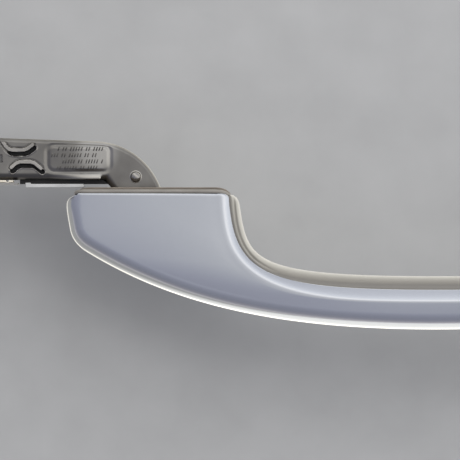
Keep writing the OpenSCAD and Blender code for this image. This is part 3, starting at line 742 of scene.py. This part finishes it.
def build_marks():
    """Four rows of plain slanted bars in groups, where such a panel carries its pressed marking.

    Each bar is a low frustum that leans to one side and sits on the panel's own surface.
    """
    places = []
    for row, (start, stop) in enumerate(MARK_MARGINS):
        x = PAD_LOW[0] + start
        k = 0
        while x < PAD_HIGH[0] - stop:
            places.append((x, PAD_LOW[1] + ROW_START + ROW_STEP * row))
            k += 1
            x += MARK_GAP if (k * 5 + row * 3) % 7 in (0, 3) else MARK_STEP
    places = np.array(places)
    ground, _ = cheek_relief(places)
    corners = np.array([[-1, -1], [1, -1], [1, 1], [-1, 1]]) * 0.5
    levels = [(1.0, -0.1), (1.0, MARK_H * 0.5), (0.6, MARK_H)]
    bar = np.concatenate([np.column_stack([corners * MARK_SIZE * draw, np.full(4, z)]) for draw, z in levels])
    bar[:, 0] += bar[:, 1] * 0.3
    origin = np.column_stack([places, ARM_Z + ground])
    points = origin[:, None] + bar[None]
    ring = np.array(grid_faces(3, 4, closed_columns=True, flip=True) + [[3, 2, 1, 0], [8, 9, 10, 11]])
    faces = (ring[None] + 12 * np.arange(len(places))[:, None, None]).reshape(-1, 4).tolist()
    return make_piece("panel_ticks", points, faces, "handle", 30)


def revolve(profile, centre, count, up=1.0):
    """A profile of radius and height turned round Z at a place, closed at the axis by fans."""
    profile = np.asarray(profile, float)
    q = np.linspace(0, 2 * math.pi, count, endpoint=False)[None]
    x = centre[0] + profile[:, :1] * np.cos(q)
    y = centre[1] + profile[:, :1] * np.sin(q)
    z = up * profile[:, 1:] + 0 * q
    points = np.stack([x, y, z], -1).reshape(-1, 3)
    faces = grid_faces(len(profile), count, closed_columns=True, flip=up > 0)
    first, last = list(range(count)), list(range(len(points) - count, len(points)))
    faces += [first, last[::-1]] if up < 0 else [first[::-1], last]
    return points, faces


def build_rivets():
    """Four domed rivet heads, each with a skirt where the tool has pressed it down."""
    low, high = box_mm("arm_rivets")
    radius = (high[0] - low[0]) / 2
    x = (low[0] + high[0]) / 2
    foot = ARM_Z + 0.15
    angles = np.linspace(0, math.pi / 2 - 0.05, 12)
    dome = [[radius * math.cos(q), foot + (high[2] - foot) * math.sin(q)] for q in angles]
    profile = [[radius + 0.25, ARM_Z - 0.3], [radius + 0.25, ARM_Z + 0.05], [radius, ARM_Z + 0.12]] + dome
    points, faces = [], []
    for y in (low[1] + radius, high[1] - radius):
        for up in (1.0, -1.0):
            more, turned = revolve(profile, (x, y), 40, up)
            faces += [[i + sum(map(len, points)) for i in face] for face in turned]
            points.append(more)
    piece = make_piece("rivet_heads", np.concatenate(points), faces, "handle", 60)
    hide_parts("arm_rivets")
    return piece


def tube(path, radius, sides):
    """A round wire along a path: a ring square to the path at every point."""
    path = np.asarray(path, float)
    tangent = unit(np.gradient(path, axis=0))
    up = np.array([0.13, 0.21, 1.0])  # a direction that no wire here runs along
    side = unit(np.cross(tangent, up))
    other = np.cross(tangent, side)
    q = np.linspace(0, 2 * math.pi, sides, endpoint=False)[None, :, None]
    rings = path[:, None] + radius * (np.cos(q) * side[:, None] + np.sin(q) * other[:, None])
    faces = grid_faces(len(path), sides, closed_columns=True, flip=True)
    faces += [list(range(sides)), list(range(len(path) * sides - 1, (len(path) - 1) * sides - 1, -1))]
    return rings.reshape(-1, 3), faces


SPRING_LEG, SPRING_HALF_W, SPRING_TURNS, WIRE_R = 9.0, 2.3, 5.5, 0.55


def build_spring():
    """The lever's torsion spring: a close helix with a straight leg at either end."""
    low, high = box_mm("lever_spring")
    hub_low, hub_high = box_mm("lever_pin_clip")
    cx = (hub_low[0] + hub_high[0]) / 2
    coil_r = (high[0] - low[0]) / 2 - 0.6
    cy = high[1] - SPRING_LEG
    half = SPRING_HALF_W
    q = np.linspace(0, SPRING_TURNS * 2 * math.pi, 260)
    z = np.linspace(-half, half, len(q))
    helix = np.stack([cx + coil_r * np.cos(q), cy - coil_r * np.sin(q), z], -1)
    fixed = np.array([[cx + coil_r, y, -half] for y in np.linspace(low[1] + 0.1, cy, 14, endpoint=False)])
    moving = np.array([[cx - coil_r, y, half] for y in np.linspace(cy, high[1], 10)[1:]])
    points, faces = tube(np.concatenate([fixed, helix, moving]), WIRE_R, 12)
    piece = make_piece("torsion_spring", points, faces, "door_mounts", 60)
    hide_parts("lever_spring")
    return piece


# ---- Node tools ----
def node(tree, kind, inputs=None, **settings):
    """A node with its settings, and its inputs set or linked by name or number."""
    made = tree.nodes.new(kind)
    for key, value in settings.items():
        setattr(made, key, value)
    for key, value in (inputs or {}).items():
        if isinstance(value, bpy.types.NodeSocket):
            tree.links.new(value, made.inputs[key])
        else:
            made.inputs[key].default_value = value
    return made


def map_range(tree, value, from_low, from_high, to_low, to_high, **settings):
    """A value carried from one range to another, kept inside it."""
    inputs = {0: value, 1: from_low, 2: from_high, 3: to_low, 4: to_high}
    return node(tree, "ShaderNodeMapRange", inputs, **settings).outputs[0]


def maths(tree, operation, first, second, **settings):
    """The result of a sum on two values."""
    return node(tree, "ShaderNodeMath", {0: first, 1: second}, operation=operation, **settings).outputs[0]


def mix_colours(tree, share, first, second, **settings):
    """Between two colours, each a socket or three numbers."""
    first, second = (c if isinstance(c, bpy.types.NodeSocket) else (*c, 1.0) for c in (first, second))
    inputs = {0: share, 6: first, 7: second}
    return node(tree, "ShaderNodeMix", inputs, data_type="RGBA", **settings).outputs[2]


def make_group(name, inputs, outputs):
    """An empty node group with float or vector inputs and float outputs."""
    tree = bpy.data.node_groups.new(name, "ShaderNodeTree")
    for label, kind, value in inputs:
        socket = tree.interface.new_socket(label, in_out="INPUT", socket_type=kind)
        if value is not None:
            socket.default_value = value
    for label, kind in outputs:
        tree.interface.new_socket(label, in_out="OUTPUT", socket_type=kind)
    return tree, tree.nodes.new("NodeGroupInput"), tree.nodes.new("NodeGroupOutput")


FLOAT, VECTOR = "NodeSocketFloat", "NodeSocketVector"


def noise_at(tree, vector, scale, detail):
    """Fractal noise at a place."""
    inputs = {"Vector": vector, "Scale": scale, "Detail": detail}
    return node(tree, "ShaderNodeTexNoise", inputs).outputs[0]


def group_mottle():
    """Cloudy value round 1, from noise of a given scale."""
    inputs = [("Vector", VECTOR, None), ("Scale", FLOAT, 60.0), ("Amount", FLOAT, 0.1)]
    tree, given, out = make_group("mottle", inputs, [("Value", FLOAT)])
    cloud = noise_at(tree, given.outputs["Vector"], given.outputs["Scale"], 5.0)
    centred = maths(tree, "SUBTRACT", cloud, 0.5)
    scaled = maths(tree, "MULTIPLY", centred, given.outputs["Amount"])
    tree.links.new(maths(tree, "ADD", scaled, 1.0), out.inputs["Value"])
    return tree


def group_grain():
    """Height of a fine irregular grain: noise over small cells."""
    inputs = [("Vector", VECTOR, None), ("Scale", FLOAT, 900.0)]
    tree, given, out = make_group("grain", inputs, [("Height", FLOAT)])
    place, scale = given.outputs["Vector"], given.outputs["Scale"]
    noise = noise_at(tree, place, scale, 3.0)
    cells = node(tree, "ShaderNodeTexVoronoi", {"Vector": place, "Scale": scale})
    tree.links.new(maths(tree, "ADD", noise, cells.outputs["Distance"]), out.inputs["Height"])
    return tree


def group_brushed():
    """Fine parallel streaks along X: noise squeezed across and stretched along."""
    inputs = [("Vector", VECTOR, None), ("Scale", FLOAT, 500.0)]
    tree, given, out = make_group("brushed", inputs, [("Height", FLOAT)])
    squeezed = node(tree, "ShaderNodeMapping", {"Vector": given.outputs["Vector"], "Scale": (0.05, 1.0, 1.0)})
    streaks = noise_at(tree, squeezed.outputs[0], given.outputs["Scale"], 4.0)
    tree.links.new(streaks, out.inputs["Height"])
    return tree


def group_edges():
    """Mask of worn edges, broken by noise: how far a rounded surface's normal leaves the true one."""
    inputs = [("Vector", VECTOR, None), ("Reach", FLOAT, 0.0004), ("Amount", FLOAT, 1.0)]
    tree, given, out = make_group("edge_wear", inputs, [("Mask", FLOAT)])
    rounded = node(tree, "ShaderNodeBevel", {"Radius": given.outputs["Reach"]}, samples=4)
    true = node(tree, "ShaderNodeNewGeometry")
    normals = {0: rounded.outputs[0], 1: true.outputs["Normal"]}
    dot = node(tree, "ShaderNodeVectorMath", normals, operation="DOT_PRODUCT")
    edge = map_range(tree, dot.outputs["Value"], 0.995, 0.8, 0.0, 1.0)
    noise = noise_at(tree, given.outputs["Vector"], 700.0, 4.0)
    broken = map_range(tree, noise, 0.4, 0.6, 0.15, 1.0)
    both = maths(tree, "MULTIPLY", edge, broken)
    scaled = maths(tree, "MULTIPLY", both, given.outputs["Amount"], use_clamp=True)
    tree.links.new(scaled, out.inputs["Mask"])
    return tree


MOTTLE, GRAIN, BRUSHED, EDGES = group_mottle(), group_grain(), group_brushed(), group_edges()


class Finish:
    """A material under construction: a Principled BSDF with Object coordinates and shared effects."""

    def __init__(self, name, colour, roughness, metallic=0.0, coat=0.0, coat_roughness=0.05, specular=0.5):
        self.material = bpy.data.materials.new(name)
        self.material.use_nodes = True
        self.tree = self.material.node_tree
        self.tree.nodes.clear()
        output = self.tree.nodes.new("ShaderNodeOutputMaterial")
        self.shader = self.tree.nodes.new("ShaderNodeBsdfPrincipled")
        self.tree.links.new(self.shader.outputs[0], output.inputs["Surface"])
        self.place = self.tree.nodes.new("ShaderNodeTexCoord").outputs["Object"]
        self.shader.inputs["Base Color"].default_value = (*colour, 1.0)
        self.shader.inputs["Roughness"].default_value = roughness
        self.shader.inputs["Metallic"].default_value = metallic
        self.shader.inputs["Coat Weight"].default_value = coat
        self.shader.inputs["Coat Roughness"].default_value = coat_roughness
        self.shader.inputs["Specular IOR Level"].default_value = specular
        self.colour = colour
        self.roughness = roughness

    def group(self, tree, inputs):
        """What a shared effect puts out, with this material's own values."""
        return node(self.tree, "ShaderNodeGroup", {"Vector": self.place, **inputs}, node_tree=tree).outputs[0]

    def link(self, value, socket):
        """Feeds a value that changes over the surface to the shader."""
        self.tree.links.new(value, self.shader.inputs[socket])

    def vary(self, scale, amount, dark=0.75, light=1.15, worn=None, wear=0.6, reach=0.0004):
        """Colour varies between a darker and a lighter tone, and shows a worn colour on edges."""
        value = self.group(MOTTLE, {"Scale": scale, "Amount": amount})
        share = map_range(self.tree, value, 0.8, 1.2, 0.0, 1.0)
        mixed = mix_colours(self.tree, share, *(brighter(self.colour, k) for k in (dark, light)))
        if worn:
            mask = self.group(EDGES, {"Reach": reach, "Amount": wear})
            mixed = mix_colours(self.tree, mask, mixed, worn)
        self.link(mixed, "Base Color")
        return self

    def rough(self, scale, spread):
        """Roughness varies round its own value."""
        value = self.group(MOTTLE, {"Scale": scale, "Amount": 1.0})
        low, high = max(0.02, self.roughness - spread), min(1.0, self.roughness + spread)
        self.link(map_range(self.tree, value, 0.7, 1.3, low, high), "Roughness")
        return self

    def bump(self, group, scale, strength, distance):
        """Fine relief from a group's height, a fraction of a millimetre deep."""
        inputs = {"Height": self.group(group, {"Scale": scale}), "Strength": strength, "Distance": distance}
        self.link(node(self.tree, "ShaderNodeBump", inputs).outputs[0], "Normal")
        return self


def brighter(colour, times):
    """A colour made so many times brighter, up to white."""
    return tuple(min(1.0, part * times) for part in colour)


def paint():
    """Metallic paint under a clear lacquer, with a faint orange peel."""
    colour = (0.45, 0.467, 0.512)
    finish = Finish("lilac_silver_paint", colour, 0.15, metallic=0.88, coat=1.0, coat_roughness=0.03)
    finish.vary(1500.0, 0.12, 0.9, 1.1, worn=(0.52, 0.52, 0.56), wear=0.15)
    finish.rough(240.0, 0.015)
    return finish.bump(GRAIN, 120.0, 0.008, 0.0002).material


def liner_plastic():
    """Satin moulding with a fine grain."""
    finish = Finish("taupe_moulding", (0.15, 0.14, 0.125), 0.36, coat=0.36, coat_roughness=0.28)
    finish.vary(140.0, 0.3, 0.9, 1.08, worn=(0.4, 0.37, 0.33), wear=0.2)
    finish.rough(300.0, 0.04)
    return finish.bump(GRAIN, 1500.0, 0.12, 0.0001).material


def moulded(name, colour, roughness, worn):
    """Moulded plastic with a fine grain, paler on its edges."""
    finish = Finish(name, colour, roughness, specular=0.3)
    finish.vary(180.0, 0.5, 0.8, 1.2, worn=worn, wear=0.5)
    finish.rough(220.0, 0.08)
    return finish.bump(GRAIN, 1300.0, 0.25, 0.00012).material


def steel(name, colour, roughness, spots=90.0, worn=None):
    """Bare or plated metal with fine streaks along X, brighter on its edges."""
    finish = Finish(name, colour, roughness, metallic=1.0)
    finish.vary(spots, 0.9, 0.72, 1.2, worn=worn or brighter(colour, 1.5), wear=0.5)
    finish.rough(140.0, 0.1)
    return finish.bump(BRUSHED, 520.0, 0.15, 0.0001).material


HIGHLIGHT_REACH = (3.0, 8.5)  # from the painted highlight's full brightness to none
LIP_SHADE_TO_LIGHT_X = (LIP_LOW, 52.0)  # where the lip's painted light goes from painted shade to painted highlight
LIP_LIGHT_Y_SPAN = (3.4, 4.0)  # where the lip's painted shade and highlight end across the cheek


def arm_steel():
    """Satin steel with a painted highlight round one end of the panel, and painted shade turning to painted
    highlight along the lip under it.
    """
    finish = Finish("arm_steel", (0.20, 0.192, 0.182), 0.36, metallic=1.0)
    tree = finish.tree
    # painted highlight: a brighter patch round one end of the panel, fading out with distance
    highlight_centre = (*(PAD_HIGH * 0.78 + PAD_LOW * 0.22) * MM, ARM_Z * MM)
    away = node(tree, "ShaderNodeVectorMath", {0: finish.place, 1: highlight_centre}, operation="DISTANCE")
    near, far = (reach * MM for reach in HIGHLIGHT_REACH)
    bright = map_range(tree, away.outputs["Value"], near, far, 1.0, 0.0, interpolation_type="SMOOTHSTEP")
    value = finish.group(MOTTLE, {"Scale": 130.0, "Amount": 1.0})
    share = map_range(tree, value, 0.8, 1.2, 0.0, 1.0)
    satin = mix_colours(tree, share, (0.165, 0.158, 0.15), (0.225, 0.216, 0.204))
    with_painted_highlight = mix_colours(tree, bright, satin, (0.36, 0.35, 0.335))
    split = node(tree, "ShaderNodeSeparateXYZ", {0: finish.place})
    x, y = split.outputs["X"], split.outputs["Y"]
    # painted shade and highlight on the lip: dark at its left end, bright towards its right end
    along_lip = map_range(tree, x, LIP_SHADE_TO_LIGHT_X[0] * MM, LIP_SHADE_TO_LIGHT_X[1] * MM, 0.0, 1.0)
    lip_shade_and_highlight = mix_colours(tree, along_lip, (0.10, 0.096, 0.092), (0.40, 0.385, 0.36))
    low = map_range(tree, y, LIP_LIGHT_Y_SPAN[0] * MM, LIP_LIGHT_Y_SPAN[1] * MM, 1.0, 0.0)
    left = map_range(tree, x, LIP_HIGH * MM, (LIP_HIGH + 0.7) * MM, 1.0, 0.0)
    with_lip_light = mix_colours(tree, maths(tree, "MULTIPLY", low, left), with_painted_highlight, lip_shade_and_highlight)
    mask = finish.group(EDGES, {"Reach": 0.0004, "Amount": 0.5})
    finish.link(mix_colours(tree, mask, with_lip_light, (0.32, 0.305, 0.285)), "Base Color")
    finish.rough(140.0, 0.08)
    return finish.bump(BRUSHED, 420.0, 0.14, 0.0001).material


def rubber(name, colour):
    """Dull rubber with a fine grain."""
    finish = Finish(name, colour, 0.72, specular=0.3)
    finish.vary(260.0, 0.5, 0.75, 1.25, worn=brighter(colour, 1.6), wear=0.4)
    finish.rough(200.0, 0.06)
    return finish.bump(GRAIN, 1800.0, 0.3, 0.0001).material


def cast(name, colour, roughness, metallic):
    """Cast metal, bare or coated: a coarse skin with bright edges."""
    finish = Finish(name, colour, roughness, metallic=metallic)
    finish.vary(160.0, 0.8, 0.75, 1.2, worn=brighter(colour, 2.2), wear=0.6)
    finish.rough(180.0, 0.1)
    return finish.bump(GRAIN, 600.0, 0.4, 0.0002).material


# ---- Pieces ----
shell = build_shell()
liner = build_liner()
arm = build_arm()
marks = build_marks()
rivets = build_rivets()
spring = build_spring()
plates = build_foot_plates()

ARM_STEEL = arm_steel()
BLACK = moulded("black_nylon_and_slot_shade", (0.010, 0.010, 0.011), 0.55, (0.03, 0.03, 0.03))
ZINC = steel("zinc_plated_steel", (0.50, 0.50, 0.51), 0.3, spots=120.0)
materials = {
    shell: paint(),
    liner: liner_plastic(),
    # painted shade: the bars take a dark steel to stand in for the shadows of pressed marks
    marks: steel("tick_steel_painted_shade", (0.11, 0.105, 0.10), 0.4, worn=(0.34, 0.33, 0.31)),
    rivets: steel("rivet_steel", (0.36, 0.345, 0.33), 0.26),
    spring: steel("blued_wire", (0.10, 0.10, 0.115), 0.3, worn=(0.3, 0.3, 0.3)),
}
CAP_GREY = moulded("warm_grey_cap", (0.23, 0.215, 0.195), 0.5, (0.32, 0.30, 0.27))
SEAL_BROWN = rubber("brown_seal", (0.17, 0.145, 0.12))
for label, plate in plates.items():
    materials[plate] = CAP_GREY if label.endswith("cap") else SEAL_BROWN
for piece, material in materials.items():
    piece.data.materials.append(material)
arm.data.materials[0] = ARM_STEEL
# painted shade: the slots' faces take black nylon to stand in for the shade inside them
arm.data.materials[1] = BLACK
# painted highlight: rib tops and burrs take a lighter steel, as where light catches them
arm.data.materials[2] = steel("rib_steel_painted_highlight", (0.36, 0.345, 0.325), 0.38, worn=(0.44, 0.42, 0.395))

CAD_FINISHES = {
    "inner_frame": BLACK,
    "rear_carrier": BLACK,
    "cover_screws": ZINC,
    "arm_glide": moulded("pale_acetal", (0.45, 0.45, 0.445), 0.45, (0.55, 0.55, 0.55)),
    "hinge_pin": ZINC,
    "pull_hook": steel("hook_steel", (0.44, 0.44, 0.45), 0.32),
    "hook_dowels": ZINC,
    "hinge_bracket": steel("bracket_steel", (0.30, 0.29, 0.28), 0.36),
    "hinge_bush": steel("bronze", (0.55, 0.36, 0.17), 0.35),
    "arm_rest_pad": moulded("cream_nylon", (0.62, 0.57, 0.48), 0.5, (0.8, 0.76, 0.68)),
    "hook_guide": moulded("natural_acetal", (0.68, 0.67, 0.63), 0.42, (0.85, 0.85, 0.82)),
    "lever_pin": ZINC,
    "lever_pin_clip": steel("blued_clip", (0.12, 0.12, 0.13), 0.35, worn=(0.35, 0.35, 0.35)),
    "stop_buffer": rubber("black_rubber", (0.02, 0.02, 0.02)),
    "release_lever": cast("coated_lever", (0.045, 0.045, 0.05), 0.42, 0.3),
    "lever_cross_pin": ZINC,
    "counterweight": cast("cast_weight", (0.26, 0.26, 0.27), 0.5, 0.8),
    "rod_clip": moulded("cream_acetal", (0.66, 0.61, 0.49), 0.42, (0.85, 0.82, 0.72)),
}
EDGE_WIDTHS = {"hinge_bracket": 0.35, "rear_carrier": 0.35, "pull_hook": 0.4, "inner_frame": 0.4}


def round_edges(piece, width):
    """Welds a frame node's loose triangles and rounds its edges a little."""
    weld = piece.modifiers.new("weld", "WELD")
    weld.merge_threshold = 0.00001
    bevel = piece.modifiers.new("edges", "BEVEL")
    bevel.width = width * MM
    bevel.segments = 2
    bevel.limit_method = "ANGLE"
    bevel.angle_limit = math.radians(38)
    bevel.use_clamp_overlap = True
    bevel.harden_normals = True


for name, material in CAD_FINISHES.items():
    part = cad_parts[name]
    part.data.materials.clear()
    part.data.materials.append(material)
    round_edges(part, EDGE_WIDTHS.get(name, 0.2))


# ---- Floor, light and camera ----
FLOOR_Z = cad_low.z - 0.001
FLOOR_HALF = 6.0
BRIGHT_SIDE = (0.6, 0.8, 0.0)  # the way to the bright side of the surroundings


def floor_material():
    """Pale matt floor to the camera; to reflections it glows white like a table, a painted reflection in the
    paint's edges.
    """
    tree_owner = bpy.data.materials.new("pale_floor")
    tree_owner.use_nodes = True
    tree = tree_owner.node_tree
    tree.nodes.clear()
    output = tree.nodes.new("ShaderNodeOutputMaterial")
    place = tree.nodes.new("ShaderNodeTexCoord").outputs["Object"]
    tone = map_range(tree, noise_at(tree, place, 60.0, 6.0), 0.3, 0.7, 0.37, 0.40)
    colour = node(tree, "ShaderNodeCombineColor", {0: tone, 1: tone, 2: tone})
    matt = node(tree, "ShaderNodeBsdfDiffuse", {"Color": colour.outputs[0]})
    split = node(tree, "ShaderNodeSeparateXYZ", {0: place})
    # painted reflection: glow seen in reflections only, dimmer towards the hinge end
    strength = map_range(tree, split.outputs["X"], 0.02, 0.09, 0.6, 1.7)
    glow = node(tree, "ShaderNodeEmission", {"Color": (1.0, 0.98, 0.90, 1.0), "Strength": strength})
    path = tree.nodes.new("ShaderNodeLightPath")
    shaders = {0: path.outputs["Is Glossy Ray"], 1: matt.outputs[0], 2: glow.outputs[0]}
    mixed = node(tree, "ShaderNodeMixShader", shaders)
    tree.links.new(mixed.outputs[0], output.inputs["Surface"])
    return tree_owner


def build_floor():
    """A flat square under the part."""
    mesh = bpy.data.meshes.new("floor")
    corners = [(-1, -1), (1, -1), (1, 1), (-1, 1)]
    mesh.from_pydata([(x * FLOOR_HALF, y * FLOOR_HALF, FLOOR_Z) for x, y in corners], [], [(0, 1, 2, 3)])
    floor = bpy.data.objects.new("floor", mesh)
    bpy.context.scene.collection.objects.link(floor)
    mesh.materials.append(floor_material())


# Light from each side: lean of the direction towards the bright side, and colour
SIDE_TONES = [
    (-1.0, (0.30, 0.31, 0.35)), (-0.61, (0.37, 0.38, 0.45)), (-0.34, (0.48, 0.49, 0.57)),
    (-0.14, (0.63, 0.64, 0.69)), (0.0, (0.78, 0.79, 0.80)), (0.12, (0.95, 0.95, 0.94)),
    (0.24, (1.45, 1.43, 1.39)), (0.38, (1.72, 1.69, 1.63)), (0.50, (1.42, 1.43, 1.43)),
    (0.62, (1.21, 1.23, 1.25)), (0.74, (1.0, 1.02, 1.05)), (1.0, (0.75, 0.76, 0.80)),
]
# Added light of the dim side's horizon, by height
HORIZON_TONES = [
    (0.0, (0.72, 0.66, 0.58)), (0.14, (0.30, 0.26, 0.22)), (0.3, (0.07, 0.05, 0.04)), (0.5, (0, 0, 0)),
]


def fill_ramp(ramp, stops):
    """Sets a colour ramp to stops of place and colour."""
    elements = ramp.elements
    elements[0].position, elements[0].color = stops[0][0], (*stops[0][1], 1)
    elements[1].position, elements[1].color = stops[-1][0], (*stops[-1][1], 1)
    for place, colour in stops[1:-1]:
        elements.new(place).color = (*colour, 1)


def build_world():
    """Soft studio surroundings, bright on the finger side and dim on the outer side.

    The side is told by how far a direction leans towards the bright side. A pale band lies along
    the horizon of the dim side.
    """
    world = bpy.data.worlds.new("studio")
    bpy.context.scene.world = world
    world.use_nodes = True
    tree = world.node_tree
    tree.nodes.clear()
    output = tree.nodes.new("ShaderNodeOutputWorld")
    direction = tree.nodes.new("ShaderNodeTexCoord").outputs["Generated"]
    lean = node(tree, "ShaderNodeVectorMath", {0: direction, 1: BRIGHT_SIDE}, operation="DOT_PRODUCT")
    share = map_range(tree, lean.outputs["Value"], -1.0, 1.0, 0.0, 1.0)
    ramp = node(tree, "ShaderNodeValToRGB", {0: share})
    fill_ramp(ramp.color_ramp, [((place + 1) / 2, colour) for place, colour in SIDE_TONES])
    split = node(tree, "ShaderNodeSeparateXYZ", {0: direction})
    band = node(tree, "ShaderNodeValToRGB", {0: split.outputs["Z"]})
    fill_ramp(band.color_ramp, HORIZON_TONES)
    dim_side = map_range(tree, lean.outputs["Value"], -0.76, -0.62, 1.0, 0.0)
    both = mix_colours(tree, dim_side, ramp.outputs[0], band.outputs[0], blend_type="ADD")
    background = node(tree, "ShaderNodeBackground", {"Color": both, "Strength": 1.0})
    tree.links.new(background.outputs[0], output.inputs["Surface"])


def area_light(name, place, target, size, power):
    """A soft box at a place, facing a target, for matt light only: the paint doesn't mirror it."""
    data = bpy.data.lights.new(name, "AREA")
    data.shape = "RECTANGLE"
    data.size, data.size_y = size
    data.energy = power
    light = bpy.data.objects.new(name, data)
    light.location = place
    direction = target - light.location
    light.rotation_euler = direction.to_track_quat("-Z", "Y").to_euler()
    light.visible_camera = False
    light.visible_glossy = False
    bpy.context.scene.collection.objects.link(light)


centre = (cad_low + cad_high) / 2
build_floor()
build_world()
area_light("soft_key", centre + Vector((0.22, 0.42, 0.62)), centre, (0.8, 0.7), 3.0)

VIEW_WIDTH = 0.1472  # metres across the picture at mid height of the part
VIEW_X, VIEW_Y = MID_X * MM - 0.066, -0.0144  # the middle of the picture
CAMERA_UP = 2.5
SENSOR = 36  # millimetres
camera_data = bpy.data.cameras.new("camera")
camera_data.sensor_width = SENSOR
camera_data.lens = SENSOR * CAMERA_UP / VIEW_WIDTH
camera = bpy.data.objects.new("camera", camera_data)
camera.location = (VIEW_X, VIEW_Y, CAMERA_UP)
bpy.context.scene.collection.objects.link(camera)
bpy.context.scene.camera = camera
bpy.context.scene.view_settings.view_transform = "Standard"
